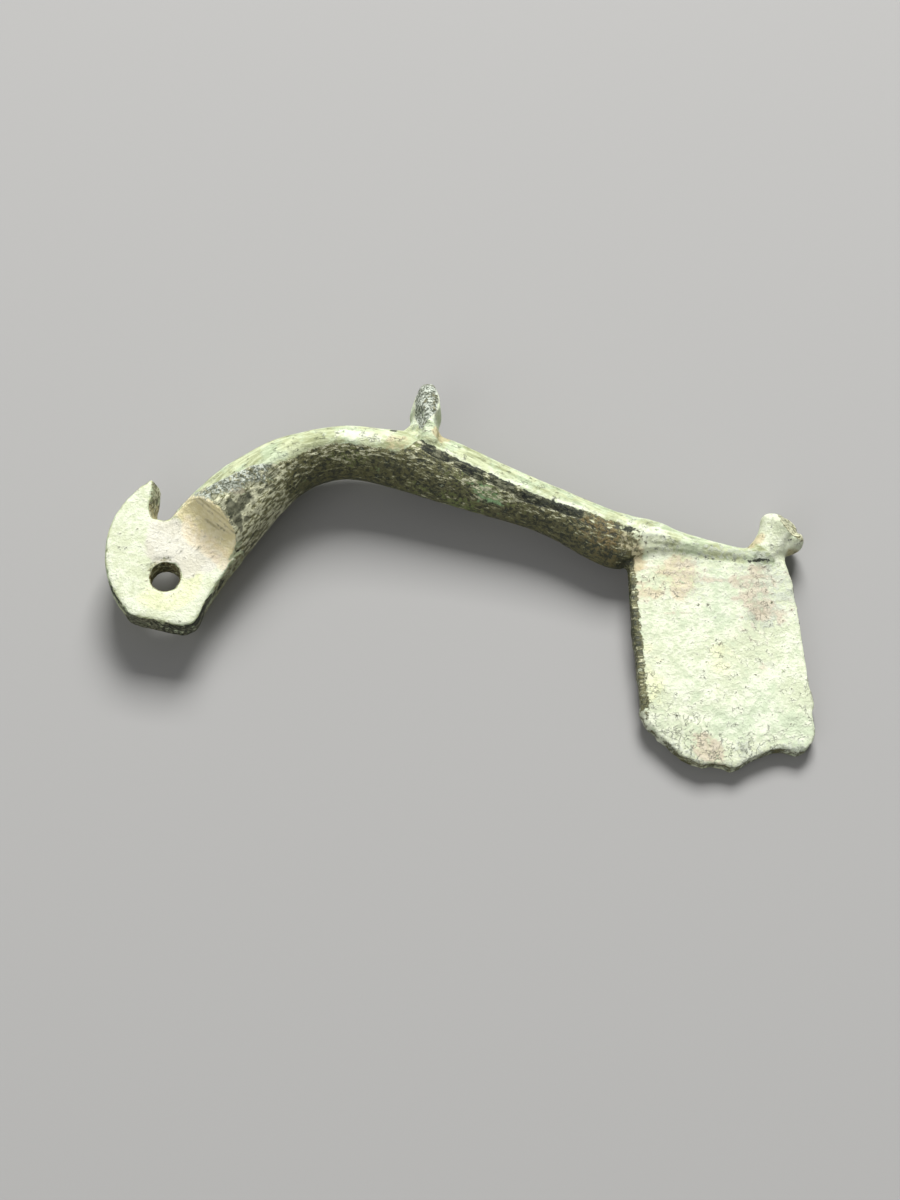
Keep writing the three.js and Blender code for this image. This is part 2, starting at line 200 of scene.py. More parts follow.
def fine_mesh():
    """The casting as one even, fine mesh in the drawing, ready for its surface to be worked."""
    mesh = frame["nodes"]["brooch"].data.copy()
    mesh.materials.clear()
    mesh.transform(drawing_to_frame.inverted())
    rough = bpy.data.objects.new("casting", mesh)
    bpy.context.scene.collection.objects.link(rough)
    weld = rough.modifiers.new("weld", "WELD")
    weld.merge_threshold = 0.0005
    remesh = rough.modifiers.new("remesh", "REMESH")
    remesh.mode = "VOXEL"
    remesh.voxel_size = VOXEL
    remesh.adaptivity = 0
    graph = bpy.context.evaluated_depsgraph_get()
    fine = bpy.data.meshes.new_from_object(rough.evaluated_get(graph))
    bpy.data.objects.remove(rough)
    return fine


def coordinates(mesh):
    flat = np.zeros(len(mesh.vertices) * 3)
    mesh.vertices.foreach_get("co", flat)
    return flat.reshape(-1, 3)


def normals(mesh, points):
    """Vertex normals, with the vertices at points."""
    mesh.vertices.foreach_set("co", points.ravel())
    mesh.update()
    flat = np.zeros(len(mesh.vertices) * 3)
    mesh.vertex_normals.foreach_get("vector", flat)
    return flat.reshape(-1, 3)


def relax(points, edges, strength, rounds):
    """Moves each vertex towards the middle of its neighbours, by its own strength, 0 to 1."""
    count = np.bincount(edges.ravel(), minlength=len(points))
    for _ in range(rounds):
        total = np.zeros_like(points)
        for axis in range(3):
            total[:, axis] = np.bincount(edges[:, 0], points[edges[:, 1], axis], len(points))
            total[:, axis] += np.bincount(edges[:, 1], points[edges[:, 0], axis], len(points))
        points = points + (total / count[:, None] - points) * np.reshape(strength, (-1, 1))
    return points


class Surface:
    """Where each vertex is on the brooch, and how far it belongs to each of its parts, from 0 to 1."""

    def __init__(self, points, normal):
        self.p = points
        self.n = normal
        self.x, self.y, self.z = points.T
        self.upper = ease(self.z, -0.3, 0.3)
        self.follow_bow()
        self.find_lug()
        self.find_crest()
        self.find_knob()
        self.find_plate()
        self.bow = 1 - self.before_shoulder
        for part in (self.scoop, self.crest, self.plate, self.knob):
            self.bow = self.bow * (1 - part)
        self.foot = self.bow * ease(self.x, 31.0, 33.5)

    def measured(self, start, ahead):
        """How far each vertex is from start, along the way ahead and to its left."""
        dx, dy = self.x - start[0], self.y - start[1]
        return dx * ahead[0] + dy * ahead[1], -dx * ahead[1] + dy * ahead[0]

    def follow_bow(self):
        """Places along the bow, heights above its middle line and rises, which are those in half depths.

        Above is how far a vertex is above the edge of the pale back.
        """
        samples = bow_samples(BOW_LINE)
        tree = kdtree.KDTree(len(samples))
        for i, s in enumerate(samples):
            tree.insert((s[0], s[1], 0), i)
        tree.balance()
        near = np.array([tree.find((a, b, 0))[1] for a, b in zip(self.x, self.y)])
        ahead = np.gradient(samples[:, :2], axis=0)
        ahead /= np.linalg.norm(ahead, axis=1, keepdims=True)
        steps = np.linalg.norm(np.diff(samples[:, :2], axis=0), axis=1)
        self.along = np.concatenate([[0], np.cumsum(steps)])[near]
        offset = self.p[:, :2] - samples[near, :2]
        self.height = -offset[:, 0] * ahead[near, 1] + offset[:, 1] * ahead[near, 0]
        self.rise = self.height / samples[near, 2]
        self.above = self.y - np.interp(self.x, *zip(*PALE_EDGE))

    def find_lug(self):
        """The flat lug with its hole, and the filed hollow (the scoop) between it and the head."""
        self.from_shoulder, self.across_shoulder = self.measured(SHOULDER, SHOULDER_AHEAD)
        self.facing_lug = -self.n[:, 0] * SHOULDER_AHEAD[0] - self.n[:, 1] * SHOULDER_AHEAD[1]
        self.scoop = ease(self.from_shoulder, -2.2, -0.2) * ease(self.from_shoulder, 1.2, 0.9)
        self.scoop *= ease(np.abs(self.z), LUG_FACE - 0.05, LUG_FACE + 0.1)
        self.scoop *= ease(self.facing_lug, 0.0, 0.2)
        self.before_shoulder = ease(self.from_shoulder, 0.12, 0.02)
        self.lug = self.before_shoulder * (1 - self.scoop)
        self.lug_face = self.lug * ease(np.abs(self.n[:, 2]), 0.75, 0.95)
        self.lug_wall = self.lug * (1 - ease(np.abs(self.n[:, 2]), 0.45, 0.8))
        self.from_hole = np.hypot(self.x, self.y)
        self.hole_wall = self.lug_wall * ease(self.from_hole, 1.35, 1.2)
        self.from_back = np.hypot(self.x - LUG_BACK[0], self.y - LUG_BACK[1])

    def find_crest(self):
        """The crest, its worn rim, and the edges where the rim meets its faces."""
        self.from_crest = self.measured(CREST_FOOT, CREST_AHEAD)[0]
        self.crest = ease(self.height, 2.1, 2.6) * ease(np.abs(self.from_crest), 2.0, 1.6)
        half_rim = np.interp(self.height, *zip(*CREST_RIM))
        facing_along = np.abs(self.n[:, 0] * CREST_AHEAD[0] + self.n[:, 1] * CREST_AHEAD[1])
        lean = np.interp(self.height, [1.4, 3.6], [-0.25, 0.05])
        from_rim_middle = np.abs(self.from_crest - lean)
        self.crest_rim = ease(self.height, 1.3, 1.9) * ease(facing_along, 0.995, 0.93)
        self.crest_rim *= ease(from_rim_middle, half_rim + 0.1, half_rim - 0.1)
        self.crest_edge = self.crest * ease(np.abs(from_rim_middle - half_rim - 0.05), 0.14, 0.05)

    def find_knob(self):
        """The foot knob, and its worn side."""
        self.knob_height, self.knob_side = self.measured(FOOT_END, KNOB_AHEAD)
        self.knob = ease(self.knob_height, 0.1, 0.6) * ease(self.x, 41.0, 41.6)
        self.knob_flat = ease(self.n @ np.array(KNOB_FLAT), 0.6, 0.8) * ease(self.knob_height, 1.4, 1.9)

    def find_plate(self):
        """The catchplate, its left side and broken rim, and how far down it each vertex is."""
        self.from_plate_left = self.x - PLATE_TOP_LEFT[0] - PLATE_LEAN * (PLATE_TOP_LEFT[1] - self.y)
        self.plate = ease(self.from_plate_left, -0.6, 0.1) * ease(np.abs(self.z), 1.0, 0.72)
        self.plate *= ease(self.height, -0.5, -1.1) * (1 - self.knob)
        self.plate_down = self.y / PLATE_BOTTOM
        self.plate_side = ease(self.height, -0.9, -1.6) * ease(self.x, 31.0, 31.8) * (1 - self.knob)
        self.plate_wall = self.plate_side * ease(np.abs(self.n[:, 2]), 0.8, 0.4)
        self.plate_wall *= ease(np.abs(self.z), 0.62, 0.5)

    def lengthwise(self, stretch, width):
        """Points for noise that runs in streaks along the bow."""
        return np.stack([self.along / stretch, self.height / width, self.z / width], 1)

    def spot(self, x, y, radius, stretch=1.0, turn=0.0, soft=0.5):
        """1 at a place on the upper side, and 0 from its radius on. stretch makes it long towards turn."""
        dx, dy = self.x - x, self.y - y
        c, s = math.cos(math.radians(turn)), math.sin(math.radians(turn))
        far = np.hypot((dx * c + dy * s) / stretch, -dx * s + dy * c) / radius
        return ease(far, 1.0, 1 - soft) * self.upper


def soft_joins(s):
    """How much each vertex lies where the crest, the plate or the knob grows out of the bow."""
    crest_root = ease(np.abs(s.height - 2.0), 0.35, 0.05) * ease(np.abs(s.from_crest), 1.6, 1.0)
    plate_root = ease(np.abs(s.height + 0.9), 0.9, 0.2) * ease(s.from_plate_left, -1.5, 0.0)
    knob_root = ease(np.abs(s.knob_height - 0.1), 1.2, 0.4) * ease(s.x, 40.0, 41.0)
    return np.clip(crest_root + plate_root + knob_root, 0, 1)


def deepen_scoop(points, s):
    """Gives the filed hollow its wide round foot, where the lug's face rises into the head."""
    reach = np.array(SCOOP_ROUND)
    middle = np.array([SCOOP_WALL, LUG_FACE]) + reach * (-1, 1)
    height = np.abs(points[:, 2])
    way = (np.stack([s.from_shoulder, height], 1) - middle) / reach
    far = np.linalg.norm(way, axis=1)
    inside = (way[:, 0] > 0) & (way[:, 1] < 0) & (far > 1) & (s.from_shoulder < 1)
    inside &= (np.abs(s.n[:, 2]) + s.facing_lug > 0.8) & (height > LUG_FACE - 0.2)
    move = np.where(inside, 1 / np.maximum(far, 1e-6) - 1, 0)[:, None] * way * reach
    # never above the head's own round side
    half_depth, half_width = HEAD_ROUND
    skin = half_width * np.sqrt(np.clip(1 - (s.across_shoulder / half_depth) ** 2, 0, 1))
    room = np.maximum(np.maximum(skin, LUG_FACE) - height, 0)
    move[:, 1] = np.minimum(move[:, 1], room)
    points = points.copy()
    points[:, :2] += move[:, :1] * np.array(SHOULDER_AHEAD)
    points[:, 2] += move[:, 1] * np.sign(points[:, 2])
    return points


def swell_crest(points, s):
    """Makes the crest thickest half way up, and narrow at its root."""
    swell = 0.14 * s.crest * ease(np.abs(s.height - 4.1), 1.9, 0.3)
    waist = 0.27 * ease(np.abs(s.height - 2.8), 0.9, 0.2) * ease(np.abs(s.from_crest), 2.0, 1.6)
    points = points.copy()
    points[:, 0] += (swell - waist) * np.clip(s.from_crest / 0.4, -1, 1)
    return points


def flatten_knob(points, s):
    """Wears the knob's end flat on its upper side, down to where the lobe below the flat begins."""
    flat = np.array(KNOB_FLAT)
    along, up = KNOB_MIDDLE
    middle = np.append(np.array(FOOT_END) + along * np.array(KNOB_AHEAD), up)
    over = (points - middle) @ flat - KNOB_FLAT_OUT
    worn = s.knob * ease(s.knob_side, -1.6, -0.7)
    return points - np.outer(np.clip(over, 0, 1) * worn, flat)


def relief(s, depth_before):
    """How far casting, filing, wear and corrosion move each vertex outwards, in millimetres."""
    p = s.p
    rough = 0.55 + 0.6 * ease(s.plate_down, 0.62, 0.9) * s.plate + 0.5 * s.crest
    rough += 0.5 * s.bow * ease(s.rise, 0.55, 0.1) - 0.35 * s.lug_face
    out = 0.032 * grain(p, 2.3, 1) + 0.014 * grain(p, 0.9, 2)
    out += rough * (0.013 * grain(p, 0.42, 3) + 0.010 * grain(p, 0.26, 4))
    # lengthwise streaks from casting and wear on the bow's back and on the foot
    out += 0.016 * grain(s.lengthwise(3.2, 0.34), 1, 5) * s.bow
    out += 0.040 * grain(s.lengthwise(6.0, 0.3), 1, 6) * s.foot
    # the file's marks in the hollow, straight across the bow, about as close as a fine file's teeth
    file_way = np.stack([s.across_shoulder, s.from_shoulder, depth_before], 1)
    out += 0.014 * grain(file_way, (7, 0.13, 0.16), 7) * s.scoop
    # faint striations across the upper part of the plate
    out += 0.020 * grain(p, (4.5, 0.3, 3), 8) * s.plate * ease(s.plate_down, 0.45, 0.1)
    # the plate's broken rim and its left edge are ragged
    rim = s.plate * ease(np.abs(s.n[:, 2]), 0.9, 0.4)
    flat_points = p * (1, 1, 0.4)
    out += rim * (0.22 * grain(flat_points, 1.1, 9) + 0.12 * grain(flat_points, 0.5, 10) - 0.14)
    # crusts and hollows of corrosion on the plate's faces, coarser towards the break
    crust = 0.7 + 1.3 * ease(s.plate_down, 0.5, 0.85)
    out += s.plate * crust * (0.030 * grain(p, 0.7, 13) - 0.035 * np.abs(grain(p, 0.9, 14)))
    # the groove that sets off the knob's lobe, the lobe itself, and lumps on the rest of the knob
    groove = ease(np.abs(s.knob_side - KNOB_GROOVE + 0.1 * grain(p, 0.8, 15)), 0.3, 0.05)
    out += s.knob * (0.06 * grain(p, 0.9, 16) - 0.1 * groove * ease(s.knob_height, 1.0, 1.8))
    out += 0.22 * s.knob * s.spot(*KNOB_LOBE, 1.1, soft=0.9)
    # the hole's rim is worn away on its left side
    worn_left = ease(s.from_hole, 1.75, 1.1) * ease(s.y - s.x, 0.3, 1.2)
    out -= 0.18 * s.lug_face * worn_left * s.upper
    # dents in the upper edge of the crest and round the lug's lower corner
    out += 0.05 * grain(p, 0.7, 11) * s.crest_rim
    out += 0.05 * grain(p, 0.8, 12) * s.lug_wall * ease(s.from_back, 5.6, 6.3) * ease(s.y, 0, -2)
    return out


def dig_pits(points, normal, s):
    """Digs corrosion pits, many in the dark flank and the crest's rim and few in the faces.

    Gives the moved points, and how deep each lies in a pit.
    """
    rng = np.random.default_rng(SEED)
    flank = s.bow * ease(np.abs(s.rise), 0.75, 0.3) * ease(s.above, 0.1, -0.2)
    kinds = [
        # (how likely each vertex is to hold a pit, how many, radius, depth)
        (0.005 + flank + 0.8 * s.crest_rim + 0.5 * s.lug_wall, 900, (0.14, 0.30), (0.015, 0.05)),
        (0.05 + s.plate * (0.25 + ease(s.plate_down, 0.6, 0.9)), 420, (0.14, 0.34), (0.010, 0.035)),
        (0.03 + s.bow * ease(s.rise, 0.2, 0.8) + 0.4 * s.knob, 160, (0.12, 0.26), (0.008, 0.022)),
        (flank * ease(s.along, 9, 5) * s.upper, 50, (0.2, 0.4), (0.05, 0.11)),
    ]
    tree = kdtree.KDTree(len(points))
    for i, p in enumerate(points):
        tree.insert(p, i)
    tree.balance()
    depth = np.zeros(len(points))
    for weight, count, radii, depths in kinds:
        weight = weight * (1 - 0.97 * s.lug_face) * (1 - s.scoop)
        chosen = rng.choice(len(points), count, replace=False, p=weight / weight.sum())
        for i, share in zip(chosen, rng.random(count)):
            radius = radii[0] + (radii[1] - radii[0]) * share
            deep = depths[0] + (depths[1] - depths[0]) * rng.random()
            for _, j, far in tree.find_range(points[i], radius):
                if normal[j] @ normal[i] > 0.3:
                    bowl = 1 - (far / radius) ** 2
                    depth[j] = max(depth[j], deep * bowl)
    return points - normal * depth[:, None], depth


def work_shape(points, mesh, edges):
    """Softens the joins, and gives the metal its worn forms and corroded relief."""
    points = relax(points, edges, np.full(len(points), 0.5), 5)
    s = Surface(points, normals(mesh, points))
    depth_before = s.z
    points = relax(points, edges, soft_joins(s) * 0.5, 12)
    for change in (deepen_scoop, swell_crest, flatten_knob):
        points = change(points, s)
    normal = normals(mesh, points)
    s = Surface(points, normal)
    points = points + normal * relief(s, depth_before)[:, None]
    return dig_pits(points, normal, s)


class Wear:
    """The speckle of the patina, and the worn places where several finishes meet."""

    def __init__(self, s):
        x, y = s.x, s.y
        self.patch = grain(s.p, 2.6, 21)
        self.fine = grain(s.p, 0.8, 22)
        self.streak = grain(s.lengthwise(5.0, 0.5), 1, 23)
        self.across = grain(s.p, (3.0, 0.28, 3), 27)
        file_way = np.stack([s.across_shoulder, s.from_shoulder, s.z], 1)
        self.filed = grain(file_way, (7, 0.2, 0.2), 24)
        self.over_bow = s.bow * ease(x, 37.0, 34.0)
        self.ragged = s.above + 0.22 * self.streak + 0.12 * self.fine
        # the shoulder, where pale crust and dark skin are ground together, and the scar on it
        self.shoulder = self.over_bow * s.upper * ease(x, 8.3, 6.5)
        self.shoulder *= ease(s.above, -2.0, -0.6) * ease(s.above, 0.3, -0.1)
        self.scar = s.bow * s.spot(4.8, 5.7, 0.45, 2.2, -10)
        # the lug's outer edge, its notch, and the worn left rim of its hole
        self.wall = s.lug_wall * ease(s.from_hole, 1.3, 1.6)
        self.notch = self.wall * ease(np.hypot(x - NOTCH[0], y - NOTCH[1]), 1.6, 0.8)
        self.rim_left = s.lug_face * ease(s.from_hole, 1.6, 1.2) * ease(y - x, 0.2, 1.2)
        # the catchplate's striated top, and its dark left band: dark skin, partly painted shade of the
        # plate's rounded left edge
        self.plate_top = s.plate * ease(s.plate_down, 0.36, 0.1)
        self.left_band_skin_and_shade = s.plate_side * ease(s.from_plate_left, 0.62, 0.25) * ease(y, -11.0, -8.5)


def dark_skin_and_shade(s, w):
    """The dark, glinting skin on the flank, the belly and the lug's edge, and where edges are worn, with
    painted shade in the lug's hole and, in part, along the catchplate's left band.
    """
    x = s.x
    ragged_end = x + 0.9 * w.fine + 0.7 * w.patch
    flank = w.over_bow * ease(w.ragged, 0.25, -0.2) * ease(ragged_end, 33.8, 31.4)
    belly = w.over_bow * ease(s.rise, -0.55, -0.85) * ease(x, 35, 33)
    pale_wall = 0.4 * ease(x, 2.6, 3.6) + 0.5 * w.notch
    return most(
        most(flank, belly) * (1 - w.scar) * (1 - 0.65 * w.shoulder),
        w.wall * (0.75 + 0.5 * w.fine) * ease(x, -3.6, -1.8) * (1 - pale_wall),
        s.crest_rim * (0.25 + 0.3 * w.fine),
        # the plate's left band: dark skin, partly painted shade of its rounded edge
        w.left_band_skin_and_shade * (0.85 + 0.3 * w.fine),
        s.plate_wall * (0.5 + 0.3 * w.fine),
        s.knob * s.knob_flat * (0.8 + 0.3 * w.fine),
        # painted shade: the whole wall of the lug's hole painted dark
        s.hole_wall * (1.1 + 0.3 * w.fine),
        w.rim_left * (0.3 + 0.3 * w.fine),
    )


def black_skin_and_shade(s, w):
    """The blackest skin: a broken line below the pale back, the lug's edge and small marks, with painted
    shade in the lug's hole, in the knob's groove, in the crease under the foot and, in part, along the
    catchplate's left band.
    """
    x, y, fine = s.x, s.y, w.fine
    from_line = np.abs(w.ragged + 0.18) - 0.1 * ease(x, 30, 22)
    from_line += 0.08 * grain(s.lengthwise(1.5, 0.4), 1, 26)
    unbroken = fine + 0.6 * w.streak - 0.55 * ease(x, 26.0, 30.0)
    line = s.bow * s.upper * ease(from_line, 0.4, 0.12) * ease(x, 17.3, 18.3)
    line *= ease(x, 38.5, 31.5) * ease(unbroken, -1.2, -0.2)
    # two dark streaks on the flank behind the hollow
    below_shoulder = s.bow * s.spot(4.8, 3.9, 0.6, 2.6, -68) * (0.9 + 0.3 * fine)
    on_shoulder = s.bow * s.spot(5.4, 4.9, 0.45, 2.6, 55) * (0.8 + 0.3 * fine)
    # painted shade: a thin black line in the crease where the catchplate meets the foot
    foot_crease_shade = ease(np.abs(y - 1.8 + 0.04 * (x - 39.5) + 0.06 * fine), 0.14, 0.04)
    foot_crease_shade *= s.upper * ease(x, 36.0, 37.5) * ease(x, 43.2, 42.3) * ease(s.z, 0.2, 0.5)
    # painted shade: a black line along the groove that sets off the knob's lobe
    groove = s.knob * ease(np.abs(s.knob_side - KNOB_GROOVE + 0.1 * fine), 0.16, 0.04) * s.upper
    return most(
        most(line, below_shoulder, on_shoulder) * (1 - w.scar),
        w.wall * ease(y, -1.9, -2.7) * (0.8 + 0.3 * fine),
        w.wall * ease(y, 2.2, -1.2) * ease(s.z, -0.5, 0.4) * (0.7 + 0.5 * fine),
        # painted shade: the upper, far side of the hole's wall painted black
        s.hole_wall * ease(y, 0.3, 0.95) * (0.4 + 0.3 * fine),
        s.lug * s.spot(-0.9, 7.5, 0.45) * 0.8,  # the hook's tip
        s.spot(15.9, 11.0, 0.2, 2.0) * ease(s.z, 0.8, 1.2) * 0.8,  # a short black mark before the crest
        # the plate's left band: black flecks, partly painted shade of its rounded edge
        w.left_band_skin_and_shade * (0.3 + 0.35 * fine),
        foot_crease_shade * (0.45 + 0.3 * w.patch),
        groove * ease(s.knob_height, 1.2, 1.8) * (0.35 + 0.3 * fine),
    )


def pale_crusts(s, w):
    """The pale carbonates: cream on most faces, chalk and peach on the lug, and the rest in patches."""
    x, y, patch, fine = s.x, s.y, w.patch, w.fine
    back_left = ease(s.above, -0.1, 0.5) * ease(np.abs(x - 14.5), 6.0, 2.0) * (0.32 + 0.4 * w.streak)
    back_right = ease(s.above, 0.9, 0.3) * ease(x, 18, 20) * (0.7 + 0.3 * w.streak)
    cream = s.crest_edge * 0.7 + s.lug_face * (1.15 + 0.2 * patch) + s.plate * (0.75 + 0.35 * patch)
    cream += w.over_bow * (back_left + back_right) + s.knob * (0.75 + 0.3 * patch) + s.foot * 0.25
    from_lug_middle = np.hypot((x - 1.3) / 1.1, y - 2.6) + 0.5 * fine
    ring = ease(np.abs(s.from_hole - 1.9), 1.1, 0.4) * ease(y - x, 1.5, -0.5)
    peach = (s.scoop + s.lug_face) * s.upper * ease(x, 0.4, 1.6) * 0.85
    peach *= ease(np.abs(s.from_shoulder + 1.3 + 0.2 * fine), 1.3, 0.1)
    top_pink = 0.3 + 0.5 * w.across + 0.5 * patch + 0.3 * fine
    return {
        "cream": cream,
        "chalk": s.lug_face * ease(from_lug_middle, 3.4, 1.9),
        "peach": peach,
        "yellow": most(
            s.lug_face * ring * 0.8,
            s.plate * ease(patch + 0.4 * fine, -0.2, 0.6) * 0.7 * ease(x, 43, 38),
        ),
        "grey": most(
            s.plate * ease(s.plate_down + 0.06 * patch, 0.72, 0.86) * (0.5 + 0.4 * fine),
            w.plate_top * ease(x, 33.0, 37.5) * (0.42 + 0.6 * w.across + 0.4 * patch),
            s.foot * (0.35 + 0.5 * w.streak),
            w.shoulder * 0.9,
        ),
        "pink": most(
            s.plate * ease(s.plate_down, 0.62, 0.1) * ease(patch + 0.5 * fine, -0.5, 0.7) * 0.6,
            w.plate_top * top_pink * ease(x, 43.5, 42.0),
            s.spot(41.2, -4.0, 1.0, 1.4, 10, 0.9) * 0.5,  # two on the plate's right side
            s.spot(41.6, -6.3, 0.8, 1.2, 60, 0.9) * 0.45,
            s.spot(37.6, -12.1, 1.3, 1.6, -40) * 0.75,  # at the plate's break
            s.spot(3.6, 2.4, 1.5, 1.5, 130) * s.lug_face * 0.55,  # on the lug, below the hollow
            w.scar * 0.95,
        ),
    }


def brown_stains(s, w):
    """The brown stains, strongest where the hollow was filed and partly painted shade along its crease, and
    the speckle on worn edges.
    """
    x, y, t = s.x, s.y, s.from_shoulder
    # partly painted shade: an olive line along the hollow's crease, where its two filed faces meet, over its
    # brown stain
    crease_stain_and_shade = ease(np.abs(t + 0.1 + 0.15 * s.across_shoulder + 0.1 * w.fine), 0.3, 0.0)
    in_scoop = ease(t, -0.7, 0.2) * (0.3 + 0.3 * w.filed) + crease_stain_and_shade * (0.25 + 0.3 * w.filed)
    lobe = s.knob * s.spot(*KNOB_LOBE, 1.1, soft=0.8)
    return {
        "olive": most(
            s.scoop * in_scoop + w.wall * 0.5 * ease(x, 2.6, 3.6),
            w.rim_left * (0.45 + 0.3 * w.fine),
            lobe * ease(y, 3.2, 2.2) * 0.9,
        ),
        "ochre": most(
            s.scoop * ease(t, -1.0, 0.0) * (0.2 + 0.3 * w.filed),
            s.hole_wall * ease(y - x, -1, 1) * 0.8,
            w.notch * 0.9,
            s.spot(32.0, 2.0, 2.4) * 0.75,  # where the bow meets the plate
            s.spot(41.7, 3.3, 0.9, 1.7, 50, 0.9) * 0.75,  # at the knob's root
            s.spot(16.3, 9.6, 1.3, 1.3) * ease(s.above, -0.2, 0.2) * 0.55,  # before the crest
            s.spot(19.3, 10.6, 0.9) * 0.7,  # behind it
        ),
        "worn": most(
            s.crest_rim,
            w.shoulder * 0.85,
            s.scoop * ease(t, 0.1, 0.6) * ease(s.across_shoulder, 0.0, 1.5) * 0.4,
        ),
    }


def tints(s, depth):
    """How much of each finish shows at each vertex, from 0 to 1."""
    w = Wear(s)
    x, patch, over_bow = s.x, w.patch, w.over_bow
    dark = dark_skin_and_shade(s, w)
    pale = pale_crusts(s, w)
    moss = dark * s.bow * (0.3 + 0.5 * patch + 0.2 * w.streak) * ease(x, 6.0, 12.0) * ease(x, 28.0, 24.0)
    rust = most(over_bow * ease(x, 26.0, 31.0) * (0.5 + 0.4 * patch), s.hole_wall)
    crumbs = 0.55 + 0.25 * patch + 0.45 * ease(x, 10.0, 7.5) - 0.3 * ease(s.rise, -0.5, -0.9)
    crumbs += 0.1 * s.plate_side + 0.3 * s.knob - 0.3 * ease(x, 24.0, 30.0) * over_bow
    # fewer pale crumbs on the lug's walls; in the hole this deepens its painted shade
    crumbs -= 0.25 * s.lug_wall + 0.3 * s.hole_wall
    crackle = s.plate * (0.1 + 0.6 * ease(s.plate_down, 0.45, 0.85) + 0.5 * patch)
    return {
        "mint": s.plate + s.crest + s.knob,
        # the filed hollow, painted pale as painted light
        "scoop": s.scoop,
        **pale,
        **brown_stains(s, w),
        "dark": dark,
        "moss": moss,
        "rust": rust * dark,
        "bright": s.spot(22.4, 6.4, 0.75, 2.6, -25, 0.9) * (0.75 + 0.5 * w.fine),
        "black": black_skin_and_shade(s, w),
        "crumbs": crumbs,
        "crackle": crackle + 0.3 * s.knob + 0.25 * over_bow,
        "scratched": over_bow + s.foot + s.crest * 0.4 + pale["chalk"] * 0.5,
        "pit": depth / DARK_PIT * (1 - 0.7 * s.plate),
    }


def socket_colour(text):
    """An sRGB hex colour as the linear numbers a shader takes."""
    parts = [int(text[i : i + 2], 16) / 255 for i in (1, 3, 5)]
    return (*[c / 12.92 if c <= 0.04045 else ((c + 0.055) / 1.055) ** 2.4 for c in parts], 1.0)


def add(tree, kind, inputs=(), out=None, **settings):
    """Adds a node with its settings, and gives back its output named out, or else its first open one.

    inputs is a list for the open sockets in their order, or a dict for sockets by name. Each of them is a
    value or another node's output.
    """
    node = tree.nodes.new(kind)
    for name, value in settings.items():
        setattr(node, name, value)
    if isinstance(inputs, dict):
        fed = [(node.inputs[name], value) for name, value in inputs.items()]
    else:
        fed = list(zip([socket for socket in node.inputs if socket.enabled], inputs))
    for socket, value in fed:
        if isinstance(value, bpy.types.NodeSocket):
            tree.links.new(value, socket)
        else:
            socket.default_value = value
    if out is None:
        return next((socket for socket in node.outputs if socket.enabled), None)
    return node.outputs[out]


def two_tones(tree, pattern, low, high, darker, lighter):
    """The darker tone where the pattern is below low, the lighter one where it is above high."""
    share = add(tree, "ShaderNodeMapRange", [pattern, low, high], **SMOOTH)
    tones = [socket_colour(darker), socket_colour(lighter)]
    return add(tree, "ShaderNodeMix", [share, *tones], data_type="RGBA")


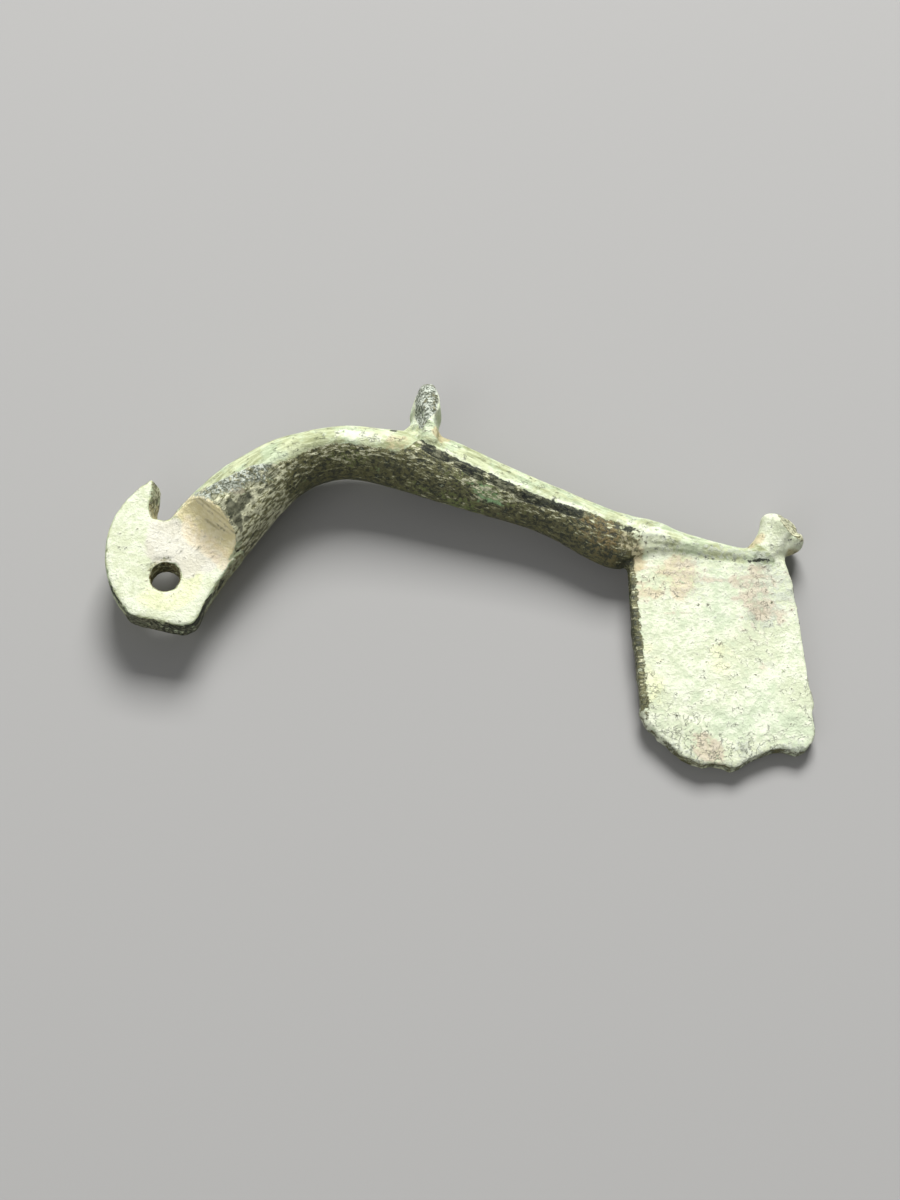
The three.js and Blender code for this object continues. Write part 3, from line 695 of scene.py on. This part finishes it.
def patinated_bronze():
    """Cast bronze after long burial: powdery pale green and cream carbonates over a dark, glinting skin.

    To the eye the crust is matt and chalky, and the bare skin is dark, speckled and a little glossy.
    """
    material = bpy.data.materials.new("patinated_bronze")
    material.use_nodes = True
    tree = material.node_tree
    tree.nodes.clear()
    place = add(tree, "ShaderNodeAttribute", attribute_name="drawing", out="Vector")
    along = add(tree, "ShaderNodeAttribute", attribute_name="lengthwise", out="Vector")
    flecks = add(tree, "ShaderNodeVectorMath", [along, (2.2, 1.0, 1.0)], operation="MULTIPLY")

    # The lumps of each pattern are about as wide as its size, in millimetres. Clouds, mottles and streaks
    # have the real ones' size. A real crust's grains are 0.05 to 0.1 mm wide, too fine to show, so the
    # specks, the wear and the crumbs are drawn two to four times as coarse.
    patterns = {
        # size, detail, roughness, the way it runs
        "cloud": (1.6, 3.0, 0.6, place),
        "mottle": (0.6, 3.0, 0.6, place),
        "speck": (0.3, 4.0, 0.7, place),
        "wear": (0.17, 2.0, 0.6, place),
        "crack": (0.7, 4.0, 0.6, place),
        "streak": (0.42, 5.0, 0.7, along),
        "scratch": (0.5, 3.0, 0.6, along),
        "crumb": (0.24, 3.0, 0.75, flecks),
    }
    noise = {}
    for name, (size, detail, rough, way) in patterns.items():
        inputs = {"Vector": way, "Scale": 1 / size, "Detail": detail, "Roughness": rough}
        noise[name] = add(tree, "ShaderNodeTexNoise", inputs)
    cloud, mottle, speck, streak = (noise[name] for name in ("cloud", "mottle", "speck", "streak"))
    mottles = add(tree, "ShaderNodeMath", [mottle, 0.4], operation="MULTIPLY")
    sharp = add(tree, "ShaderNodeMath", [speck, 0.6, mottles], operation="MULTIPLY_ADD")
    soft = add(tree, "ShaderNodeMath", [speck, 0.15, mottles], operation="MULTIPLY_ADD")
    soft = add(tree, "ShaderNodeMath", [cloud, 0.45, soft], operation="MULTIPLY_ADD")

    # the bow's pale back, in two greens
    colour = two_tones(tree, streak, 0.36, 0.62, "#999f76", "#cbd2ab")
    greener = two_tones(tree, streak, 0.4, 0.6, "#a8b592", "#cfdab9")
    share = add(tree, "ShaderNodeMapRange", [cloud, 0.45, 0.6], **SMOOTH)
    colour = add(tree, "ShaderNodeMix", [share, colour, greener], data_type="RGBA")

    # the finishes over it, each over the ones before
    layers = [
        # attribute, its grain, darker tone, lighter tone, how ragged its edge is, how much it covers
        ("mint", soft, "#c9d4b6", "#dde7cf", 0.5, 1.0),
        # painted light: the filed hollow is painted this pale to stand in for light on its wall, which faces
        # away from the main soft box
        ("scoop", soft, "#e4d9a8", "#f4ebc6", 0.3, 1.0),
        ("cream", soft, "#d2d8b8", "#e6ead2", 1.2, 0.9),
        ("yellow", soft, "#dde0ac", "#ecedc2", 1.2, 0.6),
        ("chalk", soft, "#d2cebd", "#e2dfd0", 0.5, 0.9),
        ("peach", soft, "#e6d5ae", "#f2e6c8", 0.9, 0.7),
        ("grey", sharp, "#9ba291", "#c6ccbb", 1.2, 0.75),
        ("pink", soft, "#bba58d", "#d6c4ab", 1.4, 0.6),
        ("ochre", soft, "#a5966b", "#c9b78b", 1.0, 0.7),
        ("olive", soft, "#857b50", "#aca274", 0.8, 0.8),
        ("worn", noise["wear"], "#565d50", "#c6ccbe", 0.6, 0.97),
        ("dark", sharp, "#2a2d1f", "#67653f", 1.3, 0.97),
        ("moss", sharp, "#3c4726", "#7d8c50", 1.0, 0.8),
        ("rust", sharp, "#463a22", "#7f6c42", 1.0, 0.75),
        ("bright", soft, "#5d8f55", "#a9d39b", 1.4, 0.85),
        ("black", sharp, "#0e120d", "#232a20", 1.2, 0.95),
    ]
    shown = {}
    for name, pattern, darker, lighter, loose, cover in layers:
        amount = add(tree, "ShaderNodeAttribute", attribute_name=name, out="Fac")
        swing = add(tree, "ShaderNodeMath", [pattern, 0.5], operation="SUBTRACT")
        edge = add(tree, "ShaderNodeMath", [swing, loose * 2, amount], operation="MULTIPLY_ADD")
        shown[name] = add(tree, "ShaderNodeMapRange", [edge, 0.3, 0.7, 0.0, cover], **SMOOTH)
        tones = two_tones(tree, pattern, 0.42, 0.58, darker, lighter)
        colour = add(tree, "ShaderNodeMix", [shown[name], colour, tones], data_type="RGBA")
    uncovered = add(tree, "ShaderNodeMath", [shown["black"], -0.8, 1.0], operation="MULTIPLY_ADD")
    on_dark = add(tree, "ShaderNodeMath", [shown["dark"], uncovered], operation="MULTIPLY")
    on_pale = add(tree, "ShaderNodeMath", [1.0, on_dark], operation="SUBTRACT")

    # crumbs of pale carbonate that stick to the dark skin, drawn out along the bow
    density = add(tree, "ShaderNodeAttribute", attribute_name="crumbs", out="Fac")
    density = add(tree, "ShaderNodeMath", [density, 0.5], operation="SUBTRACT")
    crowd = add(tree, "ShaderNodeMath", [density, 0.25, noise["crumb"]], operation="MULTIPLY_ADD")
    for low, high, cover, tone in ((0.45, 0.54, 0.75, "#8b8a60"), (0.55, 0.61, 0.95, "#dcdcba")):
        share = add(tree, "ShaderNodeMapRange", [crowd, low, high, 0.0, cover], **SMOOTH)
        share = add(tree, "ShaderNodeMath", [share, on_dark], operation="MULTIPLY")
        colour = add(tree, "ShaderNodeMix", [share, colour, socket_colour(tone)], data_type="RGBA")

    # thin cracks and rings in the pale crust, where their pattern crosses its middle
    crackle = add(tree, "ShaderNodeAttribute", attribute_name="crackle", out="Fac")
    cracked = add(tree, "ShaderNodeMath", [crackle, 0.35, mottle], operation="MULTIPLY_ADD")
    cracked = add(tree, "ShaderNodeMapRange", [cracked, 0.55, 0.75], **SMOOTH)
    crossing = add(tree, "ShaderNodeMath", [noise["crack"], 0.5], operation="SUBTRACT")
    crossing = add(tree, "ShaderNodeMath", [crossing], operation="ABSOLUTE")
    thin = add(tree, "ShaderNodeMapRange", [crossing, 0.02, 0.0], **SMOOTH)
    cracks = add(tree, "ShaderNodeMath", [thin, cracked], operation="MULTIPLY")
    share = add(tree, "ShaderNodeMath", [cracks, on_pale], operation="MULTIPLY")
    share = add(tree, "ShaderNodeMath", [share, 0.65], operation="MULTIPLY")
    colour = add(tree, "ShaderNodeMix", [share, colour, socket_colour("#75796a")], data_type="RGBA")

    # the pits darker, the deeper they are
    pit = add(tree, "ShaderNodeAttribute", attribute_name="pit", out="Fac")
    share = add(tree, "ShaderNodeMapRange", [pit, 0.2, 1.0, 0.0, 0.5], **SMOOTH)
    colour = add(tree, "ShaderNodeMix", [share, colour, socket_colour("#4a4d39")], data_type="RGBA")

    # fine scratches along the bow, where their pattern crosses its middle
    along_bow = add(tree, "ShaderNodeAttribute", attribute_name="scratched", out="Fac")
    crossing = add(tree, "ShaderNodeMath", [noise["scratch"], 0.5], operation="SUBTRACT")
    crossing = add(tree, "ShaderNodeMath", [crossing], operation="ABSOLUTE")
    scratches = add(tree, "ShaderNodeMapRange", [crossing, 0.012, 0.0], **SMOOTH)
    broken = add(tree, "ShaderNodeMapRange", [mottle, 0.5, 0.6], **SMOOTH)
    for mask in (broken, along_bow, on_pale):
        scratches = add(tree, "ShaderNodeMath", [scratches, mask], operation="MULTIPLY")
    share = add(tree, "ShaderNodeMath", [scratches, 0.7], operation="MULTIPLY")
    colour = add(tree, "ShaderNodeMix", [share, colour, socket_colour("#5d6350")], data_type="RGBA")

    # the crust is matt, and the dark skin is smoother and catches the light
    roughness = add(tree, "ShaderNodeMapRange", [on_dark, 0.0, 1.0, 0.78, 0.42])
    crumb_height = add(tree, "ShaderNodeMath", [noise["crumb"], on_dark], operation="MULTIPLY")
    crumb_height = add(tree, "ShaderNodeMath", [crumb_height, 0.6], operation="MULTIPLY")
    height = add(tree, "ShaderNodeMath", [speck, 0.7, crumb_height], operation="MULTIPLY_ADD")
    cuts = add(tree, "ShaderNodeMath", [cracks, scratches], operation="ADD")
    height = add(tree, "ShaderNodeMath", [cuts, -0.3, height], operation="MULTIPLY_ADD")
    values = {
        "Base Color": colour,
        "Roughness": roughness,
        "Metallic": 0.0,  # what the eye sees is the crust and the oxide skin, not bare metal
        "Specular IOR Level": 0.35,
        "Normal": add(tree, "ShaderNodeBump", {"Strength": 1.0, "Distance": 0.2 * MM, "Height": height}),
    }
    shader = add(tree, "ShaderNodeBsdfPrincipled", values)
    add(tree, "ShaderNodeOutputMaterial", {"Surface": shader})
    return material


def make_brooch():
    """The casting with its worked surface and its finishes, shown in place of the plain solid."""
    mesh = fine_mesh()
    edges = np.zeros(len(mesh.edges) * 2, np.int64)
    mesh.edges.foreach_get("vertices", edges)
    edges = edges.reshape(-1, 2)
    points, depth = work_shape(coordinates(mesh), mesh, edges)
    surface = Surface(points, normals(mesh, points))
    for name, values in tints(surface, depth).items():
        attribute = mesh.attributes.new(name, "FLOAT", "POINT")
        attribute.data.foreach_set("value", np.clip(values, 0, 1).astype(np.float32))
    # patterns that follow this attribute come out six times as long along the bow as across it
    lengthwise = np.stack([surface.along / 6, surface.height, surface.z], 1)
    for name, values in (("drawing", points), ("lengthwise", lengthwise)):
        attribute = mesh.attributes.new(name, "FLOAT_VECTOR", "POINT")
        attribute.data.foreach_set("vector", values.astype(np.float32).ravel())
    mesh.transform(drawing_to_frame)
    placed = np.clip(coordinates(mesh), np.array(cad_low), np.array(cad_high))
    mesh.vertices.foreach_set("co", placed.ravel())
    mesh.polygons.foreach_set("use_smooth", np.ones(len(mesh.polygons), bool))
    mesh.update()
    piece = bpy.data.objects.new("brooch_casting", mesh)
    bpy.context.scene.collection.objects.link(piece)
    mesh.materials.append(patinated_bronze())
    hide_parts("brooch")
    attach(piece, "root")


def matt_card():
    """Matt card: an even pale grey that gives off no shine."""
    material = bpy.data.materials.new("matt_card")
    material.use_nodes = True
    shader = material.node_tree.nodes["Principled BSDF"]
    shader.inputs["Base Color"].default_value = socket_colour("#9e9d9b")
    shader.inputs["Roughness"].default_value = 0.95
    return material


def make_floor():
    half = 1.5  # metres
    mesh = bpy.data.meshes.new("floor")
    corners = [(-half, -half, 0), (half, -half, 0), (half, half, 0), (-half, half, 0)]
    mesh.from_pydata(corners, [], [(0, 1, 2, 3)])
    mesh.materials.append(matt_card())
    floor = bpy.data.objects.new("floor", mesh)
    bpy.context.scene.collection.objects.link(floor)


def put_round(name, data, azimuth, elevation, distance, target=(0, 0, 0)):
    """Puts a light or a camera round the target, both in metres, so that it points there.

    The angles are in degrees. Azimuth 0 is on the camera's side, and 180 is behind.
    """
    a, e = math.radians(azimuth), math.radians(elevation)
    way = Vector((math.sin(a) * math.cos(e), -math.cos(a) * math.cos(e), math.sin(e)))
    thing = bpy.data.objects.new(name, data)
    thing.location = Vector(target) + way * distance
    thing.rotation_euler = way.to_track_quat("Z", "Y").to_euler()
    bpy.context.scene.collection.objects.link(thing)
    return thing


def make_light(name, azimuth, elevation, distance, size, power):
    """A square soft box that points at the brooch."""
    data = bpy.data.lights.new(name, "AREA")
    data.shape = "SQUARE"
    data.size = size
    data.energy = power
    put_round(name, data, azimuth, elevation, distance)


def make_world(strength):
    world = bpy.data.worlds.new("studio")
    world.use_nodes = True
    background = world.node_tree.nodes["Background"]
    background.inputs["Color"].default_value = socket_colour("#e6e8ea")
    background.inputs["Strength"].default_value = strength
    bpy.context.scene.world = world


def make_camera():
    """The photograph's view, from well above the table, set so that the brooch's outline falls on its own."""
    azimuth, elevation = -0.4, 65.5
    distance = 178.1 * MM
    data = bpy.data.cameras.new("camera")
    data.sensor_fit = "AUTO"
    data.sensor_width = 36
    data.lens = 75.6
    data.clip_start = 0.01
    target = Vector((-0.56, -1.638, 1.5)) * MM
    bpy.context.scene.camera = put_round("camera", data, azimuth, elevation, distance, target)


make_camera()
make_brooch()
make_floor()
make_light("main soft box", azimuth=172, elevation=47, distance=0.6, size=0.28, power=5.8)
make_light("fill soft box", azimuth=-38, elevation=42, distance=0.8, size=0.6, power=1.5)
make_world(strength=0.28)
bpy.context.scene.view_settings.view_transform = "Standard"
